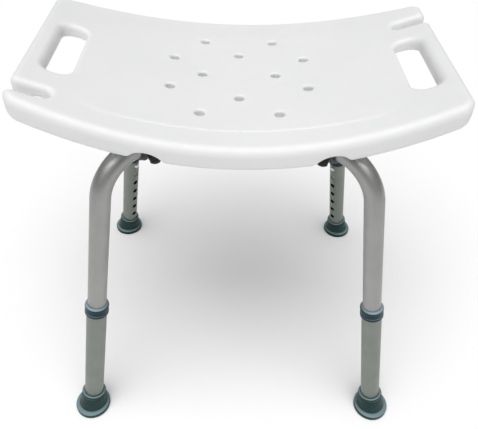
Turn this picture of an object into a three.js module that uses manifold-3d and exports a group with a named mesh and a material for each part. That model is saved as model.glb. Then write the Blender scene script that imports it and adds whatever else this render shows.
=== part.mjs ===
// Shower stool. Millimetres, +Z up, the floor at z = 0, the front of the stool towards -Y.
import * as THREE from 'three';
import Module from 'manifold-3d';

const wasm = await Module();
wasm.setup();
const { Manifold, Mesh: ManifoldMesh } = wasm;

// ---- driving dimensions -------------------------------------------------------------------
const CLEARANCE = 0.3;

const SEAT = {
  halfWidth: 256,
  halfDepthMiddle: 161,
  halfDepthEnd: 132.5,
  topHeight: 479.5,
  endRise: 49,
  rimDepth: 29,
  panelDepth: 18,
  rimWidth: 22,
  endRimWidth: 14,
  cornerRadius: 15,
  topRounding: 11,
  bottomRounding: 7,
  wall: 3,
};
const TOP_PANEL = { halfWidth: 176, halfDepth: 124, bow: 12, corner: 24, height: 1, step: 3 };
const SLOTS = [
  { x: -216, y: 0.8 },
  { x: 218, y: -18.5 },
];
const SLOT = { width: 32, length: 116, corner: 14, flare: 6 };
const NOTCHES = [
  { side: -1, y: -105 },
  { side: 1, y: 85.3 },
];
const NOTCH = { width: 16, innerEnd: 211, flare: 7 };
const DRAIN = { radius: 5.5, postRadius: 8.5 };
const DRAIN_ROWS = [
  [-47, 90], [47, 90], [-85.5, 36.5], [85.5, 36.5], [0, 54], [-47, 0],
  [47, 0], [-85.5, -36.5], [85.5, -36.5], [0, -54], [-47, -90], [47, -90],
];
const ARCH = { x: 104, halfWidth: 18, height: 11 };
const VENT = { y: -98, radius: 5, plugRadius: 4.7 };

const LEG_AZIMUTH = 42.2;
const LEG_LEAN = THREE.MathUtils.degToRad(11.62);
const LEG_FOOT_RADIUS = 303.4;
const TUBE = { outer: 12.7, inner: 11.4, lowEnd: 166, bendStart: 407.4, bendRadius: 57, hubEnd: 22 };
const SLEEVE = { outer: 14.1, inner: 13.0, low: 9, high: 226 };
const HOLES = { top: 202.5, pitch: 24, count: 7, radius: 4.7 };
const BUTTON = { radius: 4.4, tip: 17.3, flangeRadius: 5.4, flangeLow: 7.4, flangeHigh: 9.2 };
const SPRING = { width: 6.4, thickness: 0.6 };
const COLLAR = { low: 213.2, high: 230.5, outer: 16.4 };
const FOOT = { flangeRadius: 26.5, cupBase: 20.5, cupTop: 17.4, cupHeight: 37, floor: 6.4 };
const CLAMP = {
  radius: 153,
  width: 24,
  reach: 43,
  sweep: 10,
  thickness: 3.5,
  earTop: 449.2,
  screwOffset: 21.5,
};
const BOSS = { bottom: 449.5, length: 28, halfWidth: 27, top: 477.5 };
const HUB = { radius: 30, armRadius: 16.4, armReach: 58, socket: 13.0 };

const TUBE_HEIGHT = tubeHeight();
const CORNERS = [
  ['front_left', 180 + LEG_AZIMUTH],
  ['front_right', -LEG_AZIMUTH],
  ['back_left', 180 - LEG_AZIMUTH],
  ['back_right', LEG_AZIMUTH],
];

function tubeHeight() {
  const along = TUBE.bendStart + TUBE.bendRadius * Math.cos(LEG_LEAN);
  const across = TUBE.bendRadius * (1 - Math.sin(LEG_LEAN));
  return along * Math.cos(LEG_LEAN) - across * Math.sin(LEG_LEAN);
}

// ---- solids -------------------------------------------------------------------------------
function fromLists(points, faces) {
  const mesh = new ManifoldMesh({
    numProp: 3,
    vertProperties: new Float32Array(points.flat()),
    triVerts: new Uint32Array(faces.flat()),
  });
  return new Manifold(mesh);
}

function toLists(solid) {
  const mesh = solid.getMesh();
  const points = [];
  for (let i = 0; i < mesh.vertProperties.length; i += mesh.numProp) {
    points.push(Array.from(mesh.vertProperties.slice(i, i + 3)));
  }
  const faces = [];
  for (let i = 0; i < mesh.triVerts.length; i += 3) {
    faces.push(Array.from(mesh.triVerts.slice(i, i + 3)));
  }
  return { points, faces };
}

function moved(solid, matrix) {
  const { points, faces } = toLists(solid);
  const carried = points.map((p) => new THREE.Vector3(...p).applyMatrix4(matrix).toArray());
  return fromLists(carried, faces);
}

// A stack of equal rings, counter-clockwise from above, lowest first, closed by flat caps.
function stack(rings) {
  const count = rings[0].length;
  const points = rings.flat();
  const faces = [];
  for (let level = 0; level < rings.length - 1; level += 1) {
    for (let i = 0; i < count; i += 1) {
      const a = level * count + i;
      const b = level * count + ((i + 1) % count);
      faces.push([a, b, b + count], [a, b + count, a + count]);
    }
  }
  const outline = rings[0].map((p) => new THREE.Vector2(p[0], p[1]));
  const cap = THREE.ShapeUtils.triangulateShape(outline, []);
  const last = (rings.length - 1) * count;
  for (const [a, b, c] of cap) {
    faces.push([a, c, b], [last + a, last + b, last + c]);
  }
  return fromLists(points, faces);
}

// A profile of [radius, height] pairs turned about Z; it starts and ends on the axis.
function turned(profile, segments = 32) {
  const inner = profile.slice(1, -1);
  const points = [[0, 0, profile[0][1]]];
  for (const [radius, height] of inner) {
    for (let i = 0; i < segments; i += 1) {
      const angle = (2 * Math.PI * i) / segments;
      points.push([radius * Math.cos(angle), radius * Math.sin(angle), height]);
    }
  }
  const end = points.length;
  points.push([0, 0, profile[profile.length - 1][1]]);
  const faces = [];
  for (let i = 0; i < segments; i += 1) {
    const next = (i + 1) % segments;
    faces.push([0, 1 + next, 1 + i]);
    for (let level = 0; level < inner.length - 1; level += 1) {
      const a = 1 + level * segments + i;
      const b = 1 + level * segments + next;
      faces.push([a, b, b + segments], [a, b + segments, a + segments]);
    }
    const last = 1 + (inner.length - 1) * segments;
    faces.push([end, last + i, last + next]);
  }
  return fromLists(points, faces);
}

function ring(profile, segments = 32) {
  const points = [];
  for (const [radius, height] of profile) {
    for (let i = 0; i < segments; i += 1) {
      const angle = (2 * Math.PI * i) / segments;
      points.push([radius * Math.cos(angle), radius * Math.sin(angle), height]);
    }
  }
  const faces = [];
  for (let level = 0; level < profile.length; level += 1) {
    const above = (level + 1) % profile.length;
    for (let i = 0; i < segments; i += 1) {
      const next = (i + 1) % segments;
      const a = level * segments + i;
      const b = level * segments + next;
      const c = above * segments + next;
      const d = above * segments + i;
      faces.push([a, b, c], [a, c, d]);
    }
  }
  return fromLists(points, faces);
}

function block(low, high) {
  const [x0, y0, z0] = low;
  const [x1, y1, z1] = high;
  const rings = [z0, z1].map((z) => [[x0, y0, z], [x1, y0, z], [x1, y1, z], [x0, y1, z]]);
  return stack(rings);
}

function rod(radius, low, high, segments = 24) {
  return turned([[0, low], [radius, low], [radius, high], [0, high]], segments);
}

// An outline in the XY plane raised between two heights.
function prism(outline, low, high) {
  return stack([low, high].map((z) => outline.map(([x, y]) => [x, y, z])));
}

function arc(cx, cy, radius, from, to, steps) {
  const points = [];
  for (let i = 0; i <= steps; i += 1) {
    const angle = THREE.MathUtils.degToRad(from + ((to - from) * i) / steps);
    points.push([cx + radius * Math.cos(angle), cy + radius * Math.sin(angle)]);
  }
  return points;
}

// ---- seat, first made flat and then bent into its saddle ----------------------------------
const STRIP_EDGES = stripEdges();

// The flat seat is divided at these places before it is bent.
function stripEdges() {
  const edges = [];
  const count = 7;
  for (let i = -count; i <= count; i += 1) {
    edges.push(((SEAT.halfWidth - SEAT.cornerRadius) * i) / count);
  }
  return edges;
}

// Lifts a point of the flat seat onto the saddle. Walls stay upright, so that a mould opens.
function bend([x, y, w]) {
  const slope = (2 * SEAT.endRise * x) / SEAT.halfWidth ** 2;
  const height = SEAT.topHeight + SEAT.endRise * (x / SEAT.halfWidth) ** 2;
  return [x, y, height + w * Math.hypot(1, slope)];
}

function halfDepth(x) {
  const bow = 1 - (x / SEAT.halfWidth) ** 2;
  return SEAT.halfDepthEnd + (SEAT.halfDepthMiddle - SEAT.halfDepthEnd) * bow;
}

// The seat's plan outline, drawn inwards by inset.
function seatOutline(inset, cornerSteps = 4) {
  const { cornerRadius } = SEAT;
  const reach = SEAT.halfWidth - cornerRadius;
  const offset = cornerRadius - inset;
  const cornerDepth = halfDepth(reach) - cornerRadius;
  const slope = halfDepth(reach) - halfDepth(reach - 1);
  const lean = THREE.MathUtils.radToDeg(Math.atan(-slope));
  const corner = arc(reach, -cornerDepth, offset, -90 + lean, 0, cornerSteps);
  const front = [];
  for (const u of STRIP_EDGES.filter((edge) => Math.abs(edge) < reach - 1)) {
    front.push([u, -(halfDepth(u) - inset)]);
  }
  const mirroredX = corner.map(([u, y]) => [-u, y]).reverse();
  const backRight = corner.map(([u, y]) => [u, -y]).reverse();
  const backLeft = corner.map(([u, y]) => [-u, -y]);
  const back = front.map(([u, y]) => [u, -y]).reverse();
  return [...front, ...corner, ...backRight, ...back, ...backLeft, ...mirroredX];
}

function seatBody(wall) {
  const { topRounding, bottomRounding, rimDepth } = SEAT;
  const top = topRounding - wall;
  const bottom = bottomRounding - wall;
  const rings = [];
  const level = (inset, w) => rings.push(seatOutline(wall + inset).map(([u, y]) => [u, y, w]));
  for (const angle of [0, 45, 90]) {
    const t = THREE.MathUtils.degToRad(angle);
    level(bottom * (1 - Math.sin(t)), -rimDepth + wall + bottom * (1 - Math.cos(t)));
  }
  for (const angle of [0, 30, 60, 90]) {
    const t = THREE.MathUtils.degToRad(angle);
    level(top * (1 - Math.cos(t)), -wall - top * (1 - Math.sin(t)));
  }
  return stack(rings);
}

// A box outline whose long sides bow outwards by the given amount at the middle.
function roundedBox(halfX, halfY, bow, corner) {
  const bowed = (x) => halfY + bow * (1 - (x / halfX) ** 2);
  const quarter = arc(halfX - corner, -(halfY - corner), corner, -90, 0, 4);
  const front = [];
  for (const x of STRIP_EDGES.filter((edge) => Math.abs(edge) < halfX - corner - 1)) {
    front.push([x, -bowed(x)]);
  }
  const lifted = quarter.map(([x, y]) => [x, y - bow * (1 - (x / halfX) ** 2)]);
  const left = lifted.map(([x, y]) => [-x, y]).reverse();
  const turnedOver = [...left, ...front, ...lifted].map(([x, y]) => [-x, -y]);
  return [...left, ...front, ...lifted, ...turnedOver];
}

function undersideRecess(grow) {
  const halfX = SEAT.halfWidth - SEAT.endRimWidth + grow;
  const halfY = SEAT.halfDepthEnd - SEAT.rimWidth + grow;
  const bow = SEAT.halfDepthMiddle - SEAT.halfDepthEnd;
  const low = roundedBox(halfX, halfY, bow, 16 + grow);
  const high = roundedBox(halfX - 3, halfY - 3, bow, 13 + grow);
  const rings = [
    low.map(([u, y]) => [u, y, -SEAT.rimDepth - 2]),
    high.map(([u, y]) => [u, y, -SEAT.panelDepth + grow]),
  ];
  return stack(rings);
}

function raisedPanel() {
  const { halfWidth, halfDepth: depth, bow, corner, height, step } = TOP_PANEL;
  const low = roundedBox(halfWidth, depth - bow, bow, corner);
  const high = roundedBox(halfWidth - step, depth - bow - step, bow, corner - step);
  const levels = [[low, -1], [low, 0], [high, height]];
  return stack(levels.map(([outline, w]) => outline.map(([x, y]) => [x, y, w])));
}

// A cutter whose outline opens outwards near the top face by the given flare.
function flaredCutter(outlineAt, flare, grow) {
  const rings = [outlineAt(grow).map(([u, y]) => [u, y, -SEAT.rimDepth - 2])];
  for (const angle of [0, 30, 60, 90]) {
    const t = THREE.MathUtils.degToRad(angle);
    const spread = grow + flare * (1 - Math.cos(t));
    rings.push(outlineAt(spread).map(([u, y]) => [u, y, -flare + flare * Math.sin(t)]));
  }
  rings.push(outlineAt(grow + flare).map(([u, y]) => [u, y, 3]));
  return stack(rings);
}

function slotCutter({ x, y }, grow) {
  const outlineAt = (spread) => {
    const halfX = SLOT.width / 2 + spread;
    const halfY = SLOT.length / 2 + spread;
    const corner = SLOT.corner + spread;
    return [
      ...arc(x - halfX + corner, y - halfY + corner, corner, 180, 270, 4),
      ...arc(x + halfX - corner, y - halfY + corner, corner, 270, 360, 4),
      ...arc(x + halfX - corner, y + halfY - corner, corner, 0, 90, 4),
      ...arc(x - halfX + corner, y + halfY - corner, corner, 90, 180, 4),
    ];
  };
  return flaredCutter(outlineAt, SLOT.flare, grow);
}

function notchCutter({ side, y }, grow) {
  const inner = NOTCH.innerEnd + NOTCH.width / 2;
  const outer = SEAT.halfWidth + 30;
  const outlineAt = (spread) => {
    const radius = NOTCH.width / 2 + spread;
    const nose = arc(inner, y, radius, 90, 270, 8);
    const outline = [...nose, [outer, y - radius], [outer, y + radius]];
    return side > 0 ? outline : outline.map(([u, v]) => [-u, v]).reverse();
  };
  return flaredCutter(outlineAt, NOTCH.flare, grow);
}

function drainHole([x, y], radius, low, high) {
  const spot = new THREE.Matrix4().makeTranslation(x, y, 0);
  return moved(rod(radius, low, high, 14), spot);
}

function archCutter(side, end, grow) {
  const outline = arc(0, 0, 1, 0, 360, 16).slice(0, -1);
  const scaled = outline.map(([c, s]) => [c * (ARCH.halfWidth + grow), s * (ARCH.height + grow)]);
  const outer = halfDepth(ARCH.x) + 10;
  const place = new THREE.Matrix4().makeTranslation(side * ARCH.x, 0, -SEAT.rimDepth);
  place.multiply(new THREE.Matrix4().makeRotationX(Math.PI / 2));
  const inner = SEAT.halfDepthEnd - 16;
  const [low, high] = end < 0 ? [inner, outer] : [-outer, -inner];
  return moved(prism(scaled, low, high), place);
}

function cutAll(solid, cutters) {
  return cutters.reduce((left, cutter) => left.subtract(cutter), solid);
}

function addAll(solids) {
  return solids.reduce((left, solid) => left.add(solid));
}

function archCutters(grow) {
  const cutters = [];
  for (const side of [-1, 1]) {
    for (const end of [-1, 1]) {
      cutters.push(archCutter(side, end, grow));
    }
  }
  return cutters;
}

function seatCavity() {
  const { wall } = SEAT;
  const posts = DRAIN_ROWS.map((spot) => drainHole(spot, DRAIN.postRadius, -SEAT.rimDepth, 1));
  const centrePost = rod(9, -SEAT.rimDepth, 1);
  return cutAll(seatBody(wall), [
    undersideRecess(wall),
    ...SLOTS.map((slot) => slotCutter(slot, wall)),
    ...NOTCHES.map((notch) => notchCutter(notch, wall)),
    ...archCutters(wall),
    ...posts,
    centrePost,
  ]);
}

function flatSeat() {
  const vent = moved(
    rod(VENT.radius, -SEAT.rimDepth, -SEAT.panelDepth + 5, 20),
    new THREE.Matrix4().makeTranslation(0, VENT.y, 0),
  );
  return cutAll(seatBody(0).add(raisedPanel()), [
    undersideRecess(0),
    ...SLOTS.map((slot) => slotCutter(slot, 0)),
    ...NOTCHES.map((notch) => notchCutter(notch, 0)),
    ...archCutters(0),
    ...DRAIN_ROWS.map((spot) => drainHole(spot, DRAIN.radius, -SEAT.rimDepth, 1)),
    seatCavity(),
    vent,
  ]);
}

// Every triangle that crosses one of the planes u = cut is divided there.
function splitAcross({ points, faces }, cuts) {
  let current = faces;
  for (const cut of cuts) {
    const side = points.map((p) => (Math.abs(p[0] - cut) < 1e-4 ? 0 : Math.sign(p[0] - cut)));
    const crossings = new Map();
    const crossing = (i, j) => {
      const [low, high] = i < j ? [i, j] : [j, i];
      const key = low * 1e6 + high;
      if (!crossings.has(key)) {
        const [p, q] = [points[low], points[high]];
        const part = (cut - p[0]) / (q[0] - p[0]);
        crossings.set(key, points.length);
        points.push(p.map((value, axis) => value + part * (q[axis] - value)));
      }
      return crossings.get(key);
    };
    const next = [];
    for (const face of current) {
      const sides = face.map((i) => side[i]);
      if (!(sides.includes(1) && sides.includes(-1))) {
        next.push(face);
        continue;
      }
      const zero = sides.indexOf(0);
      const sum = sides[0] + sides[1] + sides[2];
      const first = zero >= 0 ? zero : sides.findIndex((value) => value === -sum);
      const [a, b, c] = [0, 1, 2].map((step) => face[(first + step) % 3]);
      if (zero >= 0) {
        const m = crossing(b, c);
        next.push([a, b, m], [a, m, c]);
      } else {
        const m = crossing(a, b);
        const n = crossing(a, c);
        next.push([a, m, n], [m, b, c], [m, c, n]);
      }
    }
    current = next;
  }
  return { points, faces: current };
}

function seatShell() {
  const { points, faces } = splitAcross(toLists(flatSeat()), STRIP_EDGES);
  let seat = fromLists(points.map(bend), faces).simplify(0.05);
  for (const [, azimuth] of CORNERS) {
    const turn = legTurn(azimuth);
    seat = seat.add(moved(clampBoss(), turn));
    seat = seat.subtract(moved(bossCuts(), turn));
  }
  return seat.subtract(rod(2.8, 440, 474, 12)).simplify(0.06);
}

function clampBoss() {
  const start = CLAMP.radius - BOSS.length / 2;
  return block(
    [start, -BOSS.halfWidth, BOSS.bottom],
    [start + BOSS.length, BOSS.halfWidth, BOSS.top],
  );
}

function bossCuts() {
  const groove = moved(
    rod(TUBE.outer + CLEARANCE, 120, 200, 32),
    new THREE.Matrix4().makeTranslation(0, 0, TUBE_HEIGHT).multiply(
      new THREE.Matrix4().makeRotationY(Math.PI / 2),
    ),
  );
  const pilots = [-1, 1].map((side) => moved(
    rod(2.4, 445, 461, 12),
    new THREE.Matrix4().makeTranslation(CLAMP.radius, side * CLAMP.screwOffset, 0),
  ));
  return addAll([groove, ...pilots]);
}

// ---- leg frames ---------------------------------------------------------------------------
function legTurn(azimuth) {
  return new THREE.Matrix4().makeRotationZ(THREE.MathUtils.degToRad(azimuth));
}

// Carries a leg's own frame (X inwards, Z up along the leg) into the leg's upright plane.
function leaning() {
  const inward = new THREE.Vector3(-Math.cos(LEG_LEAN), 0, -Math.sin(LEG_LEAN));
  const along = new THREE.Vector3(-Math.sin(LEG_LEAN), 0, Math.cos(LEG_LEAN));
  const across = new THREE.Vector3().crossVectors(along, inward);
  const matrix = new THREE.Matrix4().makeBasis(inward, across, along);
  return matrix.setPosition(LEG_FOOT_RADIUS, 0, 0);
}

// ---- leg parts ----------------------------------------------------------------------------
function sidewaysRod(radius, low, high, height) {
  const place = new THREE.Matrix4().makeTranslation(0, 0, height);
  place.multiply(new THREE.Matrix4().makeRotationY(Math.PI / 2));
  return moved(rod(radius, low, high, 12), place);
}

function tubePath() {
  const { lowEnd, bendStart, bendRadius, hubEnd } = TUBE;
  const turn = Math.PI / 2 - LEG_LEAN;
  const path = [{ across: 0, along: lowEnd, angle: 0 }];
  const steps = 7;
  for (let i = 0; i <= steps; i += 1) {
    const angle = (turn * i) / steps;
    path.push({
      across: bendRadius * (1 - Math.cos(angle)),
      along: bendStart + bendRadius * Math.sin(angle),
      angle,
    });
  }
  const bendEnd = path[path.length - 1];
  const reached = bendEnd.across * Math.cos(LEG_LEAN) + bendEnd.along * Math.sin(LEG_LEAN);
  const rest = LEG_FOOT_RADIUS - reached - hubEnd;
  path.push({
    across: bendEnd.across + rest * Math.cos(LEG_LEAN),
    along: bendEnd.along + rest * Math.sin(LEG_LEAN),
    angle: turn,
  });
  return path;
}

function legTube() {
  const path = tubePath();
  const segments = 18;
  const loops = [];
  const addLoop = ({ across, along, angle }, radius) => {
    const loop = [];
    for (let i = 0; i < segments; i += 1) {
      const a = (2 * Math.PI * i) / segments;
      const side = radius * Math.cos(a);
      loop.push([
        across + side * Math.cos(angle),
        radius * Math.sin(a),
        along - side * Math.sin(angle),
      ]);
    }
    loops.push(loop);
  };
  path.forEach((station) => addLoop(station, TUBE.outer));
  [...path].reverse().forEach((station) => addLoop(station, TUBE.inner));
  const faces = [];
  for (let level = 0; level < loops.length; level += 1) {
    const above = (level + 1) % loops.length;
    for (let i = 0; i < segments; i += 1) {
      const next = (i + 1) % segments;
      const a = level * segments + i;
      const b = level * segments + next;
      faces.push([a, b, above * segments + next], [a, above * segments + next, above * segments + i]);
    }
  }
  const straight = fromLists(loops.flat(), faces);
  const buttonHole = sidewaysRod(HOLES.radius, 5, 16, HOLES.top);
  const upright = moved(straight.subtract(buttonHole), leaning());
  const screwHole = moved(rod(2.4, 426, TUBE_HEIGHT, 10), hubScrewPlace());
  return upright.subtract(screwHole);
}

function legSleeve() {
  const { outer, inner, low, high } = SLEEVE;
  const body = ring([[outer, low], [outer, high], [inner, high], [inner, low]], 24);
  const holes = [];
  for (let i = 0; i < HOLES.count; i += 1) {
    holes.push(sidewaysRod(HOLES.radius, 5, 18, HOLES.top - i * HOLES.pitch));
  }
  return moved(cutAll(body, holes), leaning());
}

function sleeveCollar() {
  const { low, high, outer } = COLLAR;
  const step = SLEEVE.high + CLEARANCE;
  const body = ring([
    [outer - 0.8, low],
    [outer, low + 1],
    [outer, high - 3],
    [outer - 0.7, high - 1.6],
    [outer - 2.2, high],
    [TUBE.outer + CLEARANCE, high],
    [TUBE.outer + CLEARANCE, step],
    [SLEEVE.outer + CLEARANCE, step],
    [SLEEVE.outer + CLEARANCE, low],
  ], 24);
  return moved(body, leaning());
}

function rubberFoot() {
  const { flangeRadius, cupBase, cupTop, cupHeight, floor } = FOOT;
  const flange = moved(
    turned([
      [0, 0],
      [flangeRadius - 1.5, 0],
      [flangeRadius, 1.5],
      [flangeRadius, 6],
      [flangeRadius - 1.2, 8],
      [cupBase, 12],
      [0, 12],
    ], 28),
    new THREE.Matrix4().makeTranslation(LEG_FOOT_RADIUS, 0, 0),
  );
  const cup = moved(
    turned([
      [0, 5],
      [cupBase - 0.5, 5],
      [cupTop, cupHeight - 2],
      [cupTop - 1, cupHeight],
      [0, cupHeight],
    ], 28),
    leaning(),
  );
  const bore = moved(rod(SLEEVE.outer + CLEARANCE, floor, cupHeight + 5, 24), leaning());
  return flange.add(cup).subtract(bore).simplify(0.02);
}

function footWasher() {
  const low = FOOT.floor + 0.2;
  const high = SLEEVE.low - 0.2;
  return moved(ring([[13.6, low], [13.6, high], [7, high], [7, low]], 20), leaning());
}

function snapButton() {
  const { radius, tip, flangeRadius, flangeLow, flangeHigh } = BUTTON;
  const place = new THREE.Matrix4().makeTranslation(0, 0, HOLES.top);
  place.multiply(new THREE.Matrix4().makeRotationY(Math.PI / 2));
  const body = turned([
    [0, flangeLow],
    [flangeRadius, flangeLow],
    [flangeRadius, flangeHigh],
    [radius, flangeHigh],
    [radius, tip - 1.8],
    [radius * 0.82, tip - 0.7],
    [radius * 0.45, tip - 0.1],
    [0, tip],
  ], 16);
  return moved(moved(body, place), leaning());
}

// A folded strip: one arm lies on the button's flange, the other on the far wall of the tube.
function buttonSpring() {
  const { width, thickness } = SPRING;
  const low = HOLES.top - 27;
  const centre = [
    [BUTTON.flangeLow - 0.8, HOLES.top + 4.5],
    [BUTTON.flangeLow - 0.8, HOLES.top - 5],
    [1.5, low],
    [0, low - 2],
    [-1.5, low],
    [-10, HOLES.top - 6],
    [-9.6, HOLES.top + 1],
  ];
  const offset = (sign) => centre.map(([x, z], i) => {
    const before = centre[Math.max(i - 1, 0)];
    const after = centre[Math.min(i + 1, centre.length - 1)];
    const length = Math.hypot(after[0] - before[0], after[1] - before[1]);
    const nx = (after[1] - before[1]) / length;
    const nz = -(after[0] - before[0]) / length;
    return [x + (sign * nx * thickness) / 2, z + (sign * nz * thickness) / 2];
  });
  const outline = [...offset(-1), ...offset(1).reverse()];
  const shape = outline.map((p) => new THREE.Vector2(...p));
  const ordered = THREE.ShapeUtils.area(shape) > 0 ? outline : outline.reverse();
  const place = new THREE.Matrix4().makeRotationX(Math.PI / 2);
  return moved(moved(prism(ordered, -width / 2, width / 2), place), leaning());
}

// ---- clamps, hub and fasteners ------------------------------------------------------------
function legClamp() {
  const { width, reach, sweep, thickness, earTop, radius } = CLAMP;
  const inner = TUBE.outer + CLEARANCE;
  const outer = inner + thickness;
  const earLow = earTop - thickness;
  const section = [
    [-reach, earLow],
    [-outer, earLow],
    ...arc(0, TUBE_HEIGHT, outer, 180, 360, 16),
    [outer, earLow],
    [reach, earLow],
    [reach, earTop],
    [inner, earTop],
    ...arc(0, TUBE_HEIGHT, inner, 360, 180, 16),
    [-inner, earTop],
    [-reach, earTop],
  ];
  const standing = new THREE.Matrix4().makeTranslation(radius, 0, 0);
  standing.multiply(new THREE.Matrix4().set(0, 0, 1, 0, 1, 0, 0, 0, 0, 1, 0, 0, 0, 0, 0, 1));
  const strap = moved(prism(section, -width / 2, width / 2), standing);
  const half = width / 2;
  const nose = arc(radius + sweep, reach - 7, 7, 0, 180, 8);
  const tail = nose.map(([x, y]) => [x, -y]).reverse();
  const plan = [
    [radius + half, -20], [radius + half, 20], ...nose,
    [radius - half, 26], [radius - half, -26], ...tail,
  ];
  const holes = [-1, 1].map((side) => moved(
    rod(2.4, 430, 460, 12),
    new THREE.Matrix4().makeTranslation(radius, side * CLAMP.screwOffset, 0),
  ));
  return cutAll(strap.intersect(prism(plan, 400, 480)), holes);
}

// A pan-head screw, head down, whose head meets the work at z = 0.
function screw(shank, length, head, height) {
  const body = turned([
    [0, -height],
    [head * 0.7, -height],
    [head, -0.1],
    [shank, -0.1],
    [shank, length - 1.5],
    [shank * 0.55, length],
    [0, length],
  ], 10);
  const arm = head * 0.5;
  const bars = [
    block([-arm, -0.45, -height - 1], [arm, 0.45, -height * 0.45]),
    block([-0.45, -arm, -height - 1], [0.45, arm, -height * 0.45]),
  ];
  return cutAll(body, bars);
}

function clampScrew(side) {
  const place = new THREE.Matrix4().makeTranslation(
    CLAMP.radius,
    side * CLAMP.screwOffset,
    CLAMP.earTop - CLAMP.thickness,
  );
  return moved(screw(2.05, 13.5, 4.2, 2.8), place);
}

function hubScrewPlace() {
  return new THREE.Matrix4().makeTranslation(46, 0, 0);
}

function crossHub() {
  let hub = turned([
    [0, 427],
    [HUB.radius - 2, 427],
    [HUB.radius, 429],
    [HUB.radius, 459],
    [HUB.radius - 2, 461],
    [0, 461],
  ], 32);
  const level = new THREE.Matrix4().makeTranslation(0, 0, TUBE_HEIGHT);
  level.multiply(new THREE.Matrix4().makeRotationY(Math.PI / 2));
  const cuts = [rod(2.8, 420, 470, 16)];
  for (const [, azimuth] of CORNERS) {
    const place = legTurn(azimuth).multiply(level);
    hub = hub.add(moved(rod(HUB.armRadius, 1, HUB.armReach, 18), place));
    cuts.push(moved(rod(HUB.socket, TUBE.hubEnd - CLEARANCE, HUB.armReach + 5, 18), place));
    cuts.push(moved(rod(2.4, 420, TUBE_HEIGHT, 10), legTurn(azimuth).multiply(hubScrewPlace())));
  }
  return cutAll(hub, cuts).simplify(0.02);
}

function tubeScrew() {
  const seatHeight = TUBE_HEIGHT - HUB.armRadius - 0.1;
  const place = hubScrewPlace().multiply(new THREE.Matrix4().makeTranslation(0, 0, seatHeight));
  return moved(screw(2.05, 9.5, 3.8, 2.4), place);
}

function centreScrew() {
  return moved(screw(2.5, 45, 5.4, 3.2), new THREE.Matrix4().makeTranslation(0, 0, 426.9));
}

function ventPlug() {
  const ceiling = bend([0, VENT.y, -SEAT.panelDepth])[2];
  const body = turned([
    [0, ceiling - 2.2],
    [7.5, ceiling - 2.2],
    [8.5, ceiling - 0.3],
    [VENT.plugRadius, ceiling - 0.3],
    [VENT.plugRadius, ceiling + 4],
    [VENT.plugRadius - 1.2, ceiling + 5.5],
    [0, ceiling + 5.5],
  ], 24);
  return moved(body, new THREE.Matrix4().makeTranslation(0, VENT.y, 0));
}

// ---- assembly -----------------------------------------------------------------------------
const FINISHES = {
  seatPlastic: { color: 0xeeefef, roughness: 0.42, metalness: 0 },
  aluminium: { color: 0xa3a5a4, roughness: 0.4, metalness: 1 },
  tealPlastic: { color: 0x2f4d56, roughness: 0.5, metalness: 0 },
  footRubber: { color: 0x2a4a50, roughness: 0.6, metalness: 0 },
  blackPlastic: { color: 0x1c1f1e, roughness: 0.55, metalness: 0 },
  steel: { color: 0xc3c6c9, roughness: 0.3, metalness: 1 },
};

function part(name, solid, finish) {
  const { points, faces } = toLists(solid);
  const geometry = new THREE.BufferGeometry();
  geometry.setAttribute('position', new THREE.Float32BufferAttribute(points.flat(), 3));
  geometry.setIndex(faces.flat());
  const mesh = new THREE.Mesh(geometry, new THREE.MeshStandardMaterial(FINISHES[finish]));
  mesh.name = name;
  return mesh;
}

const stool = new THREE.Group();
stool.name = 'shower_stool';
stool.add(
  part('seat_shell', seatShell(), 'seatPlastic'),
  part('vent_plug', ventPlug(), 'seatPlastic'),
  part('cross_hub', crossHub(), 'blackPlastic'),
  part('hub_centre_screw', centreScrew(), 'steel'),
);

// The parts of one leg, made with the leg's foot on +X; each corner turns its own set.
const legParts = [
  ['leg_tube', legTube(), 'aluminium'],
  ['leg_sleeve', legSleeve(), 'aluminium'],
  ['sleeve_collar', sleeveCollar(), 'tealPlastic'],
  ['rubber_foot', rubberFoot(), 'footRubber'],
  ['foot_washer', footWasher(), 'steel'],
  ['snap_button', snapButton(), 'steel'],
  ['button_spring', buttonSpring(), 'steel'],
  ['leg_clamp', legClamp(), 'blackPlastic'],
  ['clamp_screw_a', clampScrew(1), 'steel'],
  ['clamp_screw_b', clampScrew(-1), 'steel'],
  ['tube_screw', tubeScrew(), 'steel'],
];
for (const [corner, azimuth] of CORNERS) {
  const leg = new THREE.Group();
  leg.name = `leg_${corner}`;
  leg.rotation.z = THREE.MathUtils.degToRad(azimuth);
  for (const [name, solid, finish] of legParts) {
    leg.add(part(`${name}_${corner}`, solid, finish));
  }
  stool.add(leg);
}

export default stool;
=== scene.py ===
"""Shower stool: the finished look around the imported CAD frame. Lengths are in millimetres."""
import math

import bmesh
import bpy
import numpy as np
from mathutils import Matrix, Vector


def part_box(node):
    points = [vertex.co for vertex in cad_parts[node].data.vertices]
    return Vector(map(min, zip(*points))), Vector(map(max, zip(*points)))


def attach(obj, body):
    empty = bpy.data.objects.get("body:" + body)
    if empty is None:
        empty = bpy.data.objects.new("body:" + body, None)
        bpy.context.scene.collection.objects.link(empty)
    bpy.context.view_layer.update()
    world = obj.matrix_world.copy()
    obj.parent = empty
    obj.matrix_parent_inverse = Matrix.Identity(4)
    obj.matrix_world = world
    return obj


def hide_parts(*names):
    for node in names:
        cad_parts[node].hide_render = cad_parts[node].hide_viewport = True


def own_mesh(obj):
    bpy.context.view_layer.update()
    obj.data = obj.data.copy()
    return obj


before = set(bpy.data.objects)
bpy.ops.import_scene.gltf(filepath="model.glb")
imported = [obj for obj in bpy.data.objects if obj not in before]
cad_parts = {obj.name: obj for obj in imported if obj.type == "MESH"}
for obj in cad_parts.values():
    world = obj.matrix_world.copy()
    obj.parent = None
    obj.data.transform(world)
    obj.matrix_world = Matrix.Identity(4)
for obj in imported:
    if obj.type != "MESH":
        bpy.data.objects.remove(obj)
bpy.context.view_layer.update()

MM = 0.001

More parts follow.
